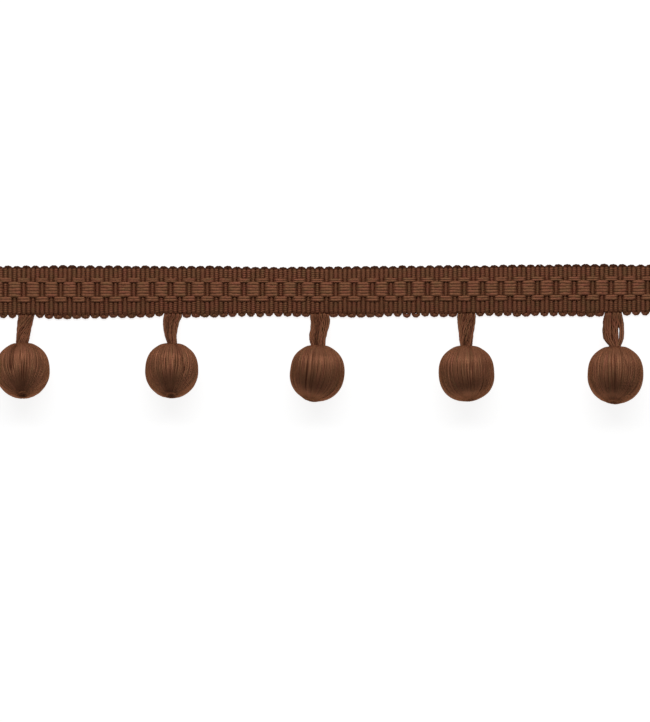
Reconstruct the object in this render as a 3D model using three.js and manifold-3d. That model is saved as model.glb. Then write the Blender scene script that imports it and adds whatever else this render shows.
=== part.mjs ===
// Beaded fringe trim: a woven heading with five thread-wound beads hung on short skeins.
// Millimetres. +X runs along the trim, -Y is the side the beads hang from, +Z is up.
// The trim lies face up on a flat surface. The origin is the middle of the heading's flat back.

import * as THREE from 'three';
import { mergeVertices } from 'three/addons/utils/BufferGeometryUtils.js';
import Module from 'manifold-3d';

const wasm = await Module();
wasm.setup();

// Weave of the heading, counted in ribs
const ribPitch = 1.65;
const ribsPerBead = 32;
const ribsPerRepeat = 4;
const ribsPerLoop = 2;
const samplesPerRib = 2;
const gap = 0.3;

// Heights of the woven face above the flat back
const heights = { edge: 0.9, groove: 1.45, rib: 2.2, bar: 2.6, float: 2.95 };

// The looped edges: depth of the notches between loops, and of the gap above each hanger
const topNotch = 0.6;
const bottomNotch = 0.9;
const loopShoulder = 0.3;
const hangerNotch = 1.7;

// Outer points of the loops along the trim, which is not quite straight
const edgeTable = [
  { x: -132, top: 9.5, bottom: -9.95 },
  { x: -88, top: 9.4, bottom: -9.75 },
  { x: -44, top: 9.2, bottom: -9.25 },
  { x: 0, top: 9.0, bottom: -9.2 },
  { x: 44, top: 9.5, bottom: -9.2 },
  { x: 88, top: 9.9, bottom: -9.0 },
  { x: 132, top: 9.95, bottom: -8.65 },
];

// Bands of the weave from the bottom edge up, as shares of the heading's width
const bandTable = [
  { share: 0.0, weave: 'edge' },
  { share: 0.1, weave: 'rib' },
  { share: 0.3, weave: 'rib' },
  { share: 0.36, weave: 'bar' },
  { share: 0.41, weave: 'float' },
  { share: 0.67, weave: 'float' },
  { share: 0.715, weave: 'bar' },
  { share: 0.755, weave: 'rib' },
  { share: 0.945, weave: 'rib' },
  { share: 1.0, weave: 'edge' },
];

// Beads from left to right: place of the middle, radius across and along the hole, fullness of the
// lower end (2 is round), rise of the lower lip, how far the lower hole tips up and the neck hole
// tips down, how far each of them leans aside, and the angle where the ridges start
const beadTable = [
  { x: -106.2, y: -28.8, across: 9.7, along: 9.9, lowerFull: 1.92, lipRise: 0.5,
    lowerTip: 37, neckTip: 9, lowerLean: 3, neckLean: 2, turn: 4 },
  { x: -52.9, y: -28.7, across: 9.5, along: 9.7, lowerFull: 2, lipRise: 0.5,
    lowerTip: 31, neckTip: 7, lowerLean: -1, neckLean: -1, turn: 1 },
  { x: -0.9, y: -29.5, across: 9.75, along: 9.85, lowerFull: 2.15, lipRise: 0.35,
    lowerTip: 12, neckTip: 6, lowerLean: -15, neckLean: -2, turn: 7 },
  { x: 52.5, y: -29.5, across: 9.95, along: 9.7, lowerFull: 2.35, lipRise: 0.2,
    lowerTip: 17, neckTip: 5, lowerLean: 7, neckLean: 0, turn: 3 },
  { x: 105.75, y: -30.1, across: 9.95, along: 10.05, lowerFull: 2.15, lipRise: 0.4,
    lowerTip: 20, neckTip: 5, lowerLean: -6, neckLean: 0, turn: 6 },
];

// Hangers from left to right: width of the skein at the heading and halfway to the bead
const hangerTable = [
  { root: 5.2, middle: 4.7 },
  { root: 5.2, middle: 4.3 },
  { root: 5.8, middle: 5.7 },
  { root: 5.6, middle: 5.3 },
  { root: 5.8, middle: 6.9 },
];

// Shape of a bead
const beadSides = 32;
const beadBands = 7;
const neckFull = 2.5;
const ridgeRise = 0.16;
const holeRadius = 2.1;
const holeDepth = 1.7;
const lipRadius = 3.0;
const flatSpotDepth = 0.2;

// Shape of a hanger
const upperStrands = 5;
const strandSize = 0.5;
const strandSteps = 3;
const layerRise = 0.42;
const rootLength = 0.8;
const rootMiddle = 1.15;
const gatherRadius = 1.7;
const gatherLength = 1.1;
const gatherSides = 10;

const ribCount = ribsPerBead * beadTable.length;
const beadPitch = ribsPerBead * ribPitch;
const headingLength = ribCount * ribPitch;
const hangerMiddle = (index) => (index - (beadTable.length - 1) / 2) * beadPitch;

const yarn = (color) => new THREE.MeshStandardMaterial({ color, roughness: 0.75, metalness: 0 });
const headingYarn = yarn('#5b3524');
const hangerYarn = yarn('#64402b');
const beadYarn = yarn('#6e4630');

// Height of an edge at x, read off the table with smooth steps between its rows
function edgeAt(x, side) {
  const next = edgeTable.findIndex((row) => row.x >= x);
  const after = edgeTable[Math.max(next, 1)];
  const before = edgeTable[Math.max(next, 1) - 1];
  return THREE.MathUtils.lerp(before[side], after[side], THREE.MathUtils.smoothstep(x, before.x, after.x));
}

// How deep the edge is drawn in at a sample: nothing at the tip of a loop, all at a notch
function loopDepth(sample, tipOffset, depth) {
  const samplesPerLoop = ribsPerLoop * samplesPerRib;
  const away = (((sample + tipOffset) % samplesPerLoop) + samplesPerLoop) % samplesPerLoop;
  const steps = Math.min(away, samplesPerLoop - away);
  return depth * [0, loopShoulder, 1][steps];
}

// The four ribs above a hanger end short, without loops
function isAboveHanger(sample) {
  const samplesPerBead = ribsPerBead * samplesPerRib;
  const away = Math.abs((sample % samplesPerBead) - samplesPerBead / 2);
  return away <= ribsPerRepeat;
}

// Outline of the heading at a sample across its length
function outlineAt(sample) {
  const x = (sample * ribPitch) / samplesPerRib - headingLength / 2;
  const drawnIn = isAboveHanger(sample) ? hangerNotch : loopDepth(sample, samplesPerRib, bottomNotch);
  return {
    x,
    top: edgeAt(x, 'top'),
    bottom: edgeAt(x, 'bottom'),
    outerTop: edgeAt(x, 'top') - loopDepth(sample, 0, topNotch),
    outerBottom: edgeAt(x, 'bottom') + drawnIn,
  };
}

// Height of the woven face: floats pass over three ribs and under the fourth, and the bars beside
// them do the same, two ribs further on
function faceHeight(weave, sample) {
  if (weave === 'edge') {
    return heights.edge;
  }
  const onRib = sample % samplesPerRib === 1;
  const plain = onRib ? heights.rib : heights.groove;
  if (weave === 'rib') {
    return plain;
  }
  const samplesPerRepeat = ribsPerRepeat * samplesPerRib;
  const start = weave === 'float' ? samplesPerRib - 1 : samplesPerRepeat - samplesPerRib - 1;
  const into = (sample - start + samplesPerRepeat) % samplesPerRepeat;
  return into <= samplesPerRepeat / 2 ? heights[weave] : plain;
}

function headingGeometry() {
  const samples = ribCount * samplesPerRib;
  const bands = bandTable.length;
  const points = [];
  const faces = [];
  for (let sample = 0; sample <= samples; sample += 1) {
    const outline = outlineAt(sample);
    bandTable.forEach(({ share, weave }) => {
      const inner = THREE.MathUtils.lerp(outline.bottom, outline.top, share);
      const y = THREE.MathUtils.clamp(inner, outline.outerBottom, outline.outerTop);
      points.push(outline.x, y, faceHeight(weave, sample));
    });
    points.push(outline.x, outline.outerTop, 0, outline.x, outline.outerBottom, 0);
  }
  // Each sample is a ring of points: the face from bottom to top, then the two corners of the back
  const ring = bands + 2;
  for (let sample = 0; sample < samples; sample += 1) {
    for (let side = 0; side < ring; side += 1) {
      const a = sample * ring + side;
      const b = sample * ring + ((side + 1) % ring);
      faces.push(a, a + ring, b, b, a + ring, b + ring);
    }
  }
  // The cut ends are fans round a point in the middle of the cloth
  const first = points.length / 3;
  const last = first + 1;
  points.push(-headingLength / 2, 0, heights.edge / 2, headingLength / 2, 0, heights.edge / 2);
  for (let side = 0; side < ring; side += 1) {
    const next = (side + 1) % ring;
    faces.push(first, side, next, last, samples * ring + next, samples * ring + side);
  }
  const geometry = new THREE.BufferGeometry();
  geometry.setAttribute('position', new THREE.Float32BufferAttribute(points, 3));
  geometry.setIndex(faces);
  return geometry;
}

// A closed geometry with its shared points merged, as a solid that can be joined and cut
function toSolid(geometry) {
  const bare = geometry.clone();
  bare.deleteAttribute('normal');
  bare.deleteAttribute('uv');
  const merged = mergeVertices(bare, 1e-4);
  const corners = Array.from(merged.index.array);
  const triangles = [];
  for (let i = 0; i < corners.length; i += 3) {
    const [a, b, c] = corners.slice(i, i + 3);
    if (a !== b && b !== c && c !== a) {
      triangles.push(a, b, c);
    }
  }
  return new wasm.Manifold(new wasm.Mesh({
    numProp: 3,
    vertProperties: new Float32Array(merged.attributes.position.array),
    triVerts: new Uint32Array(triangles),
  }));
}

function toGeometry(solid) {
  const mesh = solid.getMesh();
  const geometry = new THREE.BufferGeometry();
  geometry.setAttribute('position', new THREE.BufferAttribute(mesh.vertProperties, 3));
  geometry.setIndex(new THREE.BufferAttribute(mesh.triVerts, 1));
  return geometry;
}

// Turns a point of an upright bead, its neck hole towards +Y, to its tipped and leaning position
function settle(point, tip, lean) {
  point.applyAxisAngle(new THREE.Vector3(1, 0, 0), -THREE.MathUtils.degToRad(tip));
  return point.applyAxisAngle(new THREE.Vector3(0, 0, 1), THREE.MathUtils.degToRad(lean));
}

// Half section of a bead from the lower hole to the neck hole: distance from the axis, height
function beadProfile({ across, along, lowerFull, lipRise }) {
  const rim = (full) => Math.acos((lipRadius / across) ** (full / 2));
  const body = Array.from({ length: beadBands + 1 }, (_, i) => {
    const angle = THREE.MathUtils.lerp(-rim(lowerFull), rim(neckFull), i / beadBands);
    const full = angle < 0 ? lowerFull : neckFull;
    const height = along * Math.sign(angle) * Math.abs(Math.sin(angle)) ** (2 / full);
    return new THREE.Vector2(across * Math.cos(angle) ** (2 / full), i === 0 ? height - lipRise : height);
  });
  const floor = along - holeDepth;
  return [
    new THREE.Vector2(0, -floor),
    new THREE.Vector2(holeRadius, -floor),
    ...body,
    new THREE.Vector2(holeRadius, floor),
    new THREE.Vector2(0, floor),
  ];
}

// A wound ball with its middle at the origin. Its axis bends from the lower hole to the neck hole
function woundBall(bead) {
  const lathe = new THREE.LatheGeometry(beadProfile(bead), beadSides);
  lathe.rotateY(THREE.MathUtils.degToRad(bead.turn));
  const position = lathe.attributes.position;
  const pointsInSection = beadBands + 5;
  const point = new THREE.Vector3();
  for (let i = 0; i < position.count; i += 1) {
    point.fromBufferAttribute(position, i);
    const reach = Math.hypot(point.x, point.z);
    const rise = Math.floor(i / pointsInSection) % 2 === 0 ? ridgeRise : -ridgeRise;
    const swell = reach > holeRadius + gap ? 1 + rise / reach : 1;
    const towardsNeck = THREE.MathUtils.smoothstep(point.y, -bead.along, bead.along);
    const tip = THREE.MathUtils.lerp(bead.lowerTip, bead.neckTip, towardsNeck);
    const lean = THREE.MathUtils.lerp(bead.lowerLean, bead.neckLean, towardsNeck);
    settle(point.set(point.x * swell, point.y, point.z * swell), tip, lean);
    position.setXYZ(i, point.x, point.y, point.z);
  }
  return lathe;
}

// Height of a bead's middle when it rests on its small flat spot
function restHeight(bead) {
  const ball = woundBall(bead);
  ball.computeBoundingBox();
  return -ball.boundingBox.min.z - flatSpotDepth;
}

// A wound bead over its foot, with its flat spot at height 0
function beadGeometry(bead) {
  const ball = woundBall(bead);
  ball.translate(0, 0, restHeight(bead));
  const below = new THREE.BoxGeometry(4 * bead.across, 4 * bead.along, bead.across);
  below.translate(0, 0, -bead.across / 2);
  return toGeometry(toSolid(ball).subtract(toSolid(below)));
}

// A point given along a bead's axis at its neck hole, across it and up from it
function neckPoint(bead, along, across, up) {
  const point = settle(new THREE.Vector3(across, along, up), bead.neckTip, bead.neckLean);
  return point.add(new THREE.Vector3(bead.x, bead.y, restHeight(bead)));
}

// One strand from the heading's edge, over the middle of the skein, into the bead's neck
function strandGeometry(bead, hanger, origin, across, layer) {
  const up = layer * layerRise;
  const inNeck = gatherRadius - strandSize / 2;
  const root = new THREE.Vector3(across * (hanger.root - strandSize) / 2, -rootLength / 2, rootMiddle + up);
  const mouth = neckPoint(bead, bead.along + gap, across * inNeck, up).sub(origin);
  const end = neckPoint(bead, bead.along - holeDepth + gatherLength, across * inNeck, up).sub(origin);
  const middle = root.clone().lerp(mouth, 0.5);
  middle.x += across * (hanger.middle - (hanger.root + 2 * inNeck) / 2) / 2;
  const half = strandSize / 2;
  const section = new THREE.Shape([
    new THREE.Vector2(-half, -half),
    new THREE.Vector2(half, -half),
    new THREE.Vector2(0, half),
  ]);
  return new THREE.ExtrudeGeometry(section, {
    steps: strandSteps,
    bevelEnabled: false,
    extrudePath: new THREE.CatmullRomCurve3([root, middle, mouth, end]),
  });
}

// A skein: an upper layer of strands and a lower one in its gaps, joined by a strip at the heading
// and a gather in the bead's neck
function hangerGeometry(bead, hanger, origin) {
  const strip = new THREE.BoxGeometry(hanger.root, rootLength, 2 * layerRise + strandSize);
  strip.translate(0, -rootLength / 2, rootMiddle);
  const gather = new THREE.CylinderGeometry(gatherRadius, gatherRadius, gatherLength, gatherSides);
  const gatherMiddle = bead.along - holeDepth + gap + gatherLength / 2;
  gather.rotateX(-THREE.MathUtils.degToRad(bead.neckTip));
  gather.rotateZ(THREE.MathUtils.degToRad(bead.neckLean));
  gather.translate(...neckPoint(bead, gatherMiddle, 0, 0).sub(origin).toArray());
  let solid = toSolid(strip).add(toSolid(gather));
  const strands = 2 * upperStrands - 1;
  for (let strand = 0; strand < strands; strand += 1) {
    const across = (2 * strand) / (strands - 1) - 1;
    const layer = strand % 2 === 0 ? 1 : -1;
    solid = solid.add(toSolid(strandGeometry(bead, hanger, origin, across, layer)));
  }
  return toGeometry(solid);
}

function named(name, geometry, material, place) {
  const mesh = new THREE.Mesh(geometry, material);
  mesh.name = name;
  mesh.position.copy(place);
  return mesh;
}

const trim = new THREE.Group();
trim.add(named('heading', headingGeometry(), headingYarn, new THREE.Vector3()));
beadTable.forEach((bead, index) => {
  const x = hangerMiddle(index);
  const origin = new THREE.Vector3(x, edgeAt(x, 'bottom') + hangerNotch - gap, 0);
  const hanger = hangerGeometry(bead, hangerTable[index], origin);
  trim.add(named(`hanger_${index + 1}`, hanger, hangerYarn, origin));
  trim.add(named(`bead_${index + 1}`, beadGeometry(bead), beadYarn, new THREE.Vector3(bead.x, bead.y, 0)));
});

export default trim;
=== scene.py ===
"""A length of beaded fringe trim, lying face up.

The heading is a narrow braid. A gimp cord, which is a core wrapped in fine yarn, runs to and fro
across it as ribs and turns back in a loop at each edge. Flat threads run along it and pass over
three ribs and under the fourth. Skeins of fine thread hang from its lower edge and carry balls
that are wound with thread from hole to hole.

Lengths in the tables are millimetres. +X runs along the trim, -Y is the side the beads hang from
and +Z is up. The surface the trim lies on is at height 0.
"""

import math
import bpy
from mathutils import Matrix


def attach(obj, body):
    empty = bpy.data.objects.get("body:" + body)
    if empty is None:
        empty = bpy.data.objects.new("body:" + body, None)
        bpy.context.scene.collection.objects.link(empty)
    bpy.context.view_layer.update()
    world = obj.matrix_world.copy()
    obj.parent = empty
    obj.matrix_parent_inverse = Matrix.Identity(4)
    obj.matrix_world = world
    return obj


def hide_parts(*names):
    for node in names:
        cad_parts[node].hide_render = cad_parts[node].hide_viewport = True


bl_info = {
    "name": "Beaded fringe trim",
    "version": (1, 0, 0),
    "blender": (4, 5, 0),
    "location": "View3D > Sidebar > Trim",
    "description": "A woven heading with thread-wound beads hung on skeins of thread",
    "category": "Object",
}

from types import SimpleNamespace

import bpy
import numpy as np
from bpy.props import FloatProperty, FloatVectorProperty, IntProperty, PointerProperty
from bpy.types import Operator, Panel, PropertyGroup
from mathutils import Vector

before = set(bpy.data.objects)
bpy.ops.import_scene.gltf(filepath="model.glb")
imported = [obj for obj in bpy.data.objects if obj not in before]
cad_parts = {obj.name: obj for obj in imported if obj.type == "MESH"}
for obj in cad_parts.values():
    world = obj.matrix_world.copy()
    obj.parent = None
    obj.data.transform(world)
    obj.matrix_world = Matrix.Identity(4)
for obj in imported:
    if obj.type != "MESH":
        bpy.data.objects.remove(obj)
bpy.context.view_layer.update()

MM = 0.001
FULL_TURN = 2 * math.pi
GOLDEN_ANGLE = math.pi * (3 - math.sqrt(5))
BODY = "root"


def table(columns, *rows):
    """The rows as dictionaries, by the names of the columns."""
    return [dict(zip(columns.split(), row)) for row in rows]


# First seed of each kind of random draw, to which the number of the piece or thread is added
SEEDS = {
    "lower_loop": 2000, "upper_loop": 3000, "loop_slack": 1341, "cord": 40,
    "warp": 7, "warp_lift": 507, "warp_width": 907,
    "winding": 70, "bead_tone": 170, "skein": 90, "skein_angle": 190, "skein_aside": 290,
}

# Weave of the heading, counted in ribs
RIBS_PER_BEAD = 32
RIBS_PER_REPEAT = 4
RIBS_SHORT_AT_HANGER = (14, 15, 16, 17)
FIRST_PILLAR = 3

# Outer points of the loops along the trim, which is not quite straight
EDGES = {
    "x": (-132, -88, -44, 0, 44, 88, 132),
    "top": (9.5, 9.4, 9.2, 9.0, 9.5, 9.9, 9.95),
    "bottom": (-9.95, -9.75, -9.25, -9.2, -9.2, -9.0, -8.65),
}

# Bands of warp threads: limits as shares of the heading's width from its lower edge, number of
# threads, and the rib of each repeat that passes over them
BANDS = table(
    "low high threads under",
    (0.312, 0.404, 2, 2),
    (0.404, 0.680, 5, 0),
    (0.680, 0.753, 2, 2),
)

# Ground cloth: samples along each rib and across, threads that show across its back, the relief
# of the ribs and of those threads there, and how much both sides draw in at the selvedges
CLOTH = SimpleNamespace(
    rib_samples=3, across=20, back_threads=17, rib_relief=0.07, thread_relief=0.04, selvedge=0.12)

# Gimp cord: samples in each rib and round the cord, the shortest step between samples, and the
# length of yarn within which a stretch of cord starts. How unevenly the ribs are spaced, how much
# the upper loops wobble as a share of the lower ones, the distance over which the loops grow slack
# and tight again, how much wider the slack ones are, and how far the upper loops lie below the
# lower ones. Where the cord rises from the lower loops, falls to the upper ones and has a rib's
# section, as shares of the heading's width from its lower edge, and how softly
CORD = SimpleNamespace(
    samples=122, around=10, least_step=0.02, yarn=90,
    shake=0.035, upper_wobble=0.6, slack_pitch=80.0, slack_width=0.25, upper_drop=0.15,
    rise=(0.045, 0.12), fall=(0.922, 0.955), rib=(0.095, 0.930), soft=0.03, pillar_soft=0.02)

# How light the cord is, how much darker over the warp threads, as painted shade where the rib
# lies low between their floats, and how much lighter on the crests of its wrapping, as painted
# shade in the grooves between the turns
CORD_TONE = SimpleNamespace(plain=1.04, pillar=-0.12, crest=0.07)

# Stretches of cord with painted light and shade: painted shade darkens the upper loops, painted
# highlights lighten the lower loops and most of all their tips, and painted shade darkens the lower
# half. Each starts and is full at a share of the heading's width from its lower edge
CORD_PAINTED_LIGHT = table(
    "start full lighter",
    (0.914, 0.928, -0.82),
    (0.115, 0.085, 0.08),
    (0.078, 0.048, 0.45),
    (0.5, 0.3, -0.15),
)

# Warp threads: samples in each repeat, how much closer they lie where a rib passes over, and
# samples round a thread. How far from that rib's middle the thread begins to rise and has risen,
# and where its crown begins and how high it is. How far it wanders aside, as a share of the
# threads' spacing, and up and down, its width and how much that varies, as shares of the spacing,
# the distances over which these change, and how light the thread is below and above: darker
# below, as painted shade where it sinks under the rib
WARP = SimpleNamespace(
    samples=20, closer=0.5, around=8, rise=(0.40, 1.42), crown_start=1.2, crown=0.10,
    aside=0.10, aside_pitch=9.0, lift=0.07, lift_pitch=7.0,
    width=1.46, width_change=0.10, width_pitch=5.0, sunk_tone=0.84, float_tone=0.93)

# Beads from left to right: place of the middle, radius across and along the hole, fullness of the
# lower end (2 is round), rise of the lower lip, how far the lower hole tips up and the neck hole
# tips down, and how far each of them leans aside, in degrees
BEADS = table(
    "x y across along lower_full lip lower_tip neck_tip lower_lean neck_lean",
    (-106.2, -28.8, 9.7, 9.9, 1.92, 0.5, 37, 9, 3, 2),
    (-52.9, -28.7, 9.5, 9.7, 2.0, 0.5, 31, 7, -1, -1),
    (-0.9, -29.5, 9.75, 9.85, 2.15, 0.35, 12, 6, -15, -2),
    (52.5, -29.5, 9.95, 9.7, 2.35, 0.2, 17, 5, 7, 0),
    (105.75, -30.1, 9.95, 10.05, 2.15, 0.4, 20, 5, -6, 0),
)

# Samples of a bead: from hole to hole, round it, round it where only its height is asked for, and
# in the curve that its section is measured on. Widths of the lower lip, of the ring round the neck
# and of the stretch near a hole where samples lie closer together, least distance from the axis,
# and how softly a seam begins and ends
BEAD_SHAPE = SimpleNamespace(
    rows=54, around=560, rough_around=64, fine=3001,
    lip_width=1.1, ring_width=2.0, close_width=1.3, least_reach=0.05, seam_soft=0.12)

# How light a bead is. Least and most for a thread, drawn at random. Then painted shade: the tone
# at the darkest, and the values between which it lightens to 1: of the relief for a groove, and of
# the distance from the axis for a hole and the neck, where it stands for the skein's shadow. Then
# how much darker a band of painted shade below the middle is, with its place and width, and how
# much darker the painted shade in a seam is for each millimetre of depth, and the depth where that ends
BEAD_TONE = SimpleNamespace(
    thread=(0.77, 1.01), groove=(0.66, -0.20, -0.02), hole=(0.58, 1.5, 5.5), neck=(0.75, 2.6, 5.2),
    band=0.16, band_place=-0.5, band_width=3.2, seam=1.4, seam_depth=0.4)

# How unevenly a bead is wound. Spread of the slant and the bow of whole windings and of single
# threads in radians, and of their height. Spread of the threads' places as a share of their
# spacing. Size of the waves in a thread, how fast they turn from hole to hole, and the range of
# their phases, in radians
WOUND = SimpleNamespace(
    slant=(0.022, 0.010), bow=(0.015, 0.008), level=(0.030, 0.022),
    place=0.13, wave=0.012, wave_rate=3.1, wave_phases=6.28)

# Seams between windings that show on a bead's face: the bead, where the seam lies across its
# middle, how far it slants from hole to hole, the stretch it covers as shares of the way from the
# lower hole to the neck hole, its width, and its depth, which is negative for a raised winding
SEAMS = table(
    "bead at slant first last width depth",
    (0, -3.6, 0.8, 0.35, 0.85, 0.9, 0.38),
    (0, 1.2, -0.6, 0.10, 0.50, 1.5, 0.13),
    (1, 4.6, -2.6, 0.35, 0.97, 0.5, 0.25),
    (1, -2.0, 1.2, 0.15, 0.60, 0.6, 0.14),
    (2, -4.1, -1.0, 0.22, 0.74, 0.4, 0.24),
    (2, -1.6, -1.0, 0.20, 0.80, 0.35, 0.24),
    (3, 1.5, 0.3, 0.45, 0.95, 0.5, 0.22),
    (3, -1.2, 0.3, 0.45, 0.95, 1.2, -0.12),
    (4, 5.2, -3.0, 0.55, 0.95, 0.9, -0.16),
    (4, 3.6, -2.4, 0.50, 0.97, 0.4, 0.22),
    (4, -0.6, 0.6, 0.08, 0.45, 1.6, 0.09),
)

# Skeins from left to right: widths at the heading, a third and three quarters of the way and at
# the bead, how far they lie aside a third and three quarters of the way, the twist from heading to
# bead in turns, how loose the threads are, and the width of the slit where they part
SKEINS = table(
    "root upper lower neck aside_upper aside_lower twist loose slit",
    (5.5, 5.2, 4.7, 4.1, 0.0, 0.0, 0.45, 0.10, 0.0),
    (6.3, 5.5, 4.1, 3.2, -0.65, -0.65, 0.05, 0.05, 0.0),
    (6.6, 6.5, 5.8, 4.8, 0.4, -0.3, -0.06, 0.10, 0.0),
    (6.4, 6.0, 4.8, 4.0, -0.05, -0.1, 0.28, 0.10, 0.0),
    (6.2, 7.1, 7.0, 3.6, -0.25, -0.4, 0.0, 0.10, 0.36),
)

# Skeins: how far inside the heading's edge and below the ribs' middle they begin, and how far
# above the bead and below its dimple they are led. How far the threads turn aside in radians, over
# which share of the way. Where they are free of each other, how softly that begins and ends, and
# over which share of the way they wander. Where the slit is, as a share of the width and of the
# way, how softly it begins and ends, and how far it spreads. How deep the threads at the back
# lie and on which arch, and how thick and how wide they are for their spacing
SKEIN_SHAPE = SimpleNamespace(
    inside_edge=1.9, below_ribs=0.25, above_bead=0.2, below_dimple=0.6,
    turn=0.12, turn_pitch=2 / 3, free=(0.10, 0.95), free_soft=0.2, free_pitch=0.8,
    slit_place=0.24, slit=(0.45, 0.85), slit_soft=0.25, slit_spread=0.9,
    back_depth=0.8, back_arch=1.2, back_height=1.5, back_overlap=1.2)

# Threads of a skein: samples along and round one, the relief of its two plies, and how much
# further round and along its yarn the next one starts. How light the threads are, which is drawn
# for each, how much darker they get near the bead, as a painted shadow where the skein meets the
# bead, and over which share of the way
THREAD = SimpleNamespace(
    steps=42, around=8, ply_relief=0.045, next_phase=1.7, next_yarn=13,
    tones=(0.55, 0.92, 1.2, 1.5), near_bead=0.35, darkening=(0.8, 1.0))

# Half the floor's side, the point that the lamps face, and where the camera stands, in metres
FLOOR_HALF = 3.0
AIM = (0.0, -0.015, 0.0)
CAMERA_PLACE = (0.00191, -0.02497)


def length(name, description, default):
    """A length that a user may change, whose default is given in millimetres."""
    return FloatProperty(
        name=name, description=description, default=default * MM, precision=6, unit="LENGTH")


def colour(name, description, default):
    """A colour that a user may change, as shares of linear red, green and blue."""
    return FloatVectorProperty(
        name=name, description=description, subtype="COLOR", default=default, min=0, max=1)


class HeadingSizes(PropertyGroup):
    rib_pitch: length("Rib pitch", "Distance from rib to rib", 1.65)
    cord_width: length("Cord width", "Width of the gimp cord in a rib", 1.80)
    cord_height: length("Cord height", "Height of the gimp cord", 1.60)
    upper_loop_width: length(
        "Upper loop width", "Width of the cord where it turns back at the top", 1.60)
    lower_loop_width: length(
        "Lower loop width", "Width of the cord where it turns back at the bottom", 1.66)
    lower_loop_depth: length(
        "Lower loop depth", "How far the turn at the bottom reaches past the rib", 0.60)
    upper_loop_depth: length(
        "Upper loop depth", "How far the turn at the top reaches past the rib", 0.35)
    loop_height: length("Loop height", "Height of the cord where it turns back", 1.10)
    loop_wobble: length("Loop wobble", "How unevenly the loops lie along the edges", 0.12)
    loop_slack: FloatProperty(
        name="Loop slack", description="How much the loops' slack varies along the trim",
        default=1.2, min=0, precision=3)
    pillar_width: FloatProperty(
        name="Pillar width", default=0.82, min=0.3, max=1.0,
        description="Width of a rib between warp threads, as a share of a free rib")
    wrap_pitch: length("Wrap pitch", "Distance between turns of yarn round the cord", 0.70)
    wrap_relief: length("Wrap relief", "How far the turns of yarn stand out", 0.055)
    short_rib_inset: length(
        "Short rib inset", "How far the ribs at a skein end above the loops' tips", 1.45)
    plain_level: length("Plain level", "Height of the cord's middle in a plain rib", 1.30)
    pressed_level: length("Pressed level", "Height of the cord's middle under a warp thread", 1.00)
    loop_level: length("Loop level", "Height of the cord's middle at the edges", 0.80)
    thread_height: length("Warp thread height", "Thickness of a flat warp thread", 0.56)
    float_level: length("Float level", "Height of a warp thread's middle over the ribs", 2.10)
    sunk_level: length("Sunk level", "Height of a warp thread's middle under a rib", 0.85)
    cloth_thickness: length("Ground cloth", "Thickness of the cloth under the ribs", 0.95)
    upper_inset: length(
        "Upper ground inset", "How far the ground cloth stays inside the upper loops", 0.70)
    lower_inset: length(
        "Lower ground inset", "How far the ground cloth stays inside the lower loops", 1.40)


class SkeinSizes(PropertyGroup):
    threads: IntProperty(
        name="Threads", description="Threads in each skein", default=38, min=4, max=40)
    back_threads: IntProperty(
        name="Back threads", description="Thicker threads at the back of each skein", default=9, min=2)
    thread_width: length("Thread width", "Thickness of one thread", 0.52)
    twist_pitch: length("Twist pitch", "Length of one turn of a thread's two plies", 1.1)


class BeadSizes(PropertyGroup):
    threads: IntProperty(
        name="Threads", description="Threads side by side round a bead", default=122, min=20, max=300)
    windings: IntProperty(
        name="Windings", description="Groups of threads that lie alike", default=12, min=1)
    thread_width: length("Thread width", "Thickness of one thread", 0.56)
    neck_full: FloatProperty(
        name="Neck fullness", description="Fullness of the neck end, 2 is round", default=2.5)
    neck_rise: length("Neck rise", "How far the ring round the neck hole stands up", 0.40)
    neck_ring: length("Neck ring", "Radius of the ring round the neck hole", 3.6)
    hole_radius: length("Hole radius", "Radius of the dimple at each hole", 2.0)
    neck_hole_depth: length("Neck hole depth", "Depth of the dimple at the neck hole", 0.9)
    lower_hole_depth: length("Lower hole depth", "Depth of the dimple at the lower hole", 0.55)
    flat_spot: length("Flat spot", "How much of the bead is pressed flat where it rests", 0.2)


class YarnColours(PropertyGroup):
    light: colour("Light yarn", "Yarn where it catches the light", (0.300, 0.126, 0.067))
    # The dark yarn is a shaded copy of the yarn's colour: painted shade in grooves and hollows turns to
    # it, as do the darkest threads
    dark: colour("Dark yarn", "Yarn deep in the grooves", (0.075, 0.024, 0.012))
    reddish: colour("Reddish yarn", "Reddest shade that the dye drifts to", (0.310, 0.116, 0.068))
    deep: colour("Deep shade", "Yarn where hardly any light gets in", (0.030, 0.013, 0.008))
    olive: colour("Olive yarn", "Greenest shade that the dye drifts to", (0.265, 0.128, 0.064))


class StageSizes(PropertyGroup):
    key_power: FloatProperty(
        name="Key light", description="Power of the large lamp above the heading, in watts",
        default=11.4, min=0)
    fill_power: FloatProperty(
        name="Fill light", description="Power of the lamp overhead, in watts", default=1.5, min=0)
    room: FloatProperty(
        name="Room light", description="Strength of the even light all round", default=0.06, min=0)
    camera_height: FloatProperty(
        name="Camera height", description="Height of the camera above the trim",
        default=1.444, unit="LENGTH")
    lens: FloatProperty(
        name="Lens", description="Focal length of the camera", default=200.0, min=20)


def own_properties(group):
    """The properties of a group, without the two that every group has."""
    return [prop for prop in group.bl_rna.properties if prop.identifier not in ("rna_type", "name")]


def millimetres(group):
    """The values of a property group by name, with its lengths turned into millimetres."""
    values = {}
    for prop in own_properties(group):
        value = getattr(group, prop.identifier)
        is_length = getattr(prop, "unit", "NONE") == "LENGTH"
        values[prop.identifier] = value / MM if is_length else value
    return SimpleNamespace(**values)


# Small formulas on arrays

def ease(value, start, end):
    """0 up to start, 1 from end on and a smooth cubic step between. end may be below start."""
    share = np.clip((value - start) / (end - start), 0, 1)
    return share * share * (3 - 2 * share)


def between(value, low, high, soft):
    """1 from low to high and 0 outside, with steps as wide as soft centred on the two limits."""
    half = soft / 2
    return ease(value, low - half, low + half) * (1 - ease(value, high - half, high + half))


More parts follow.
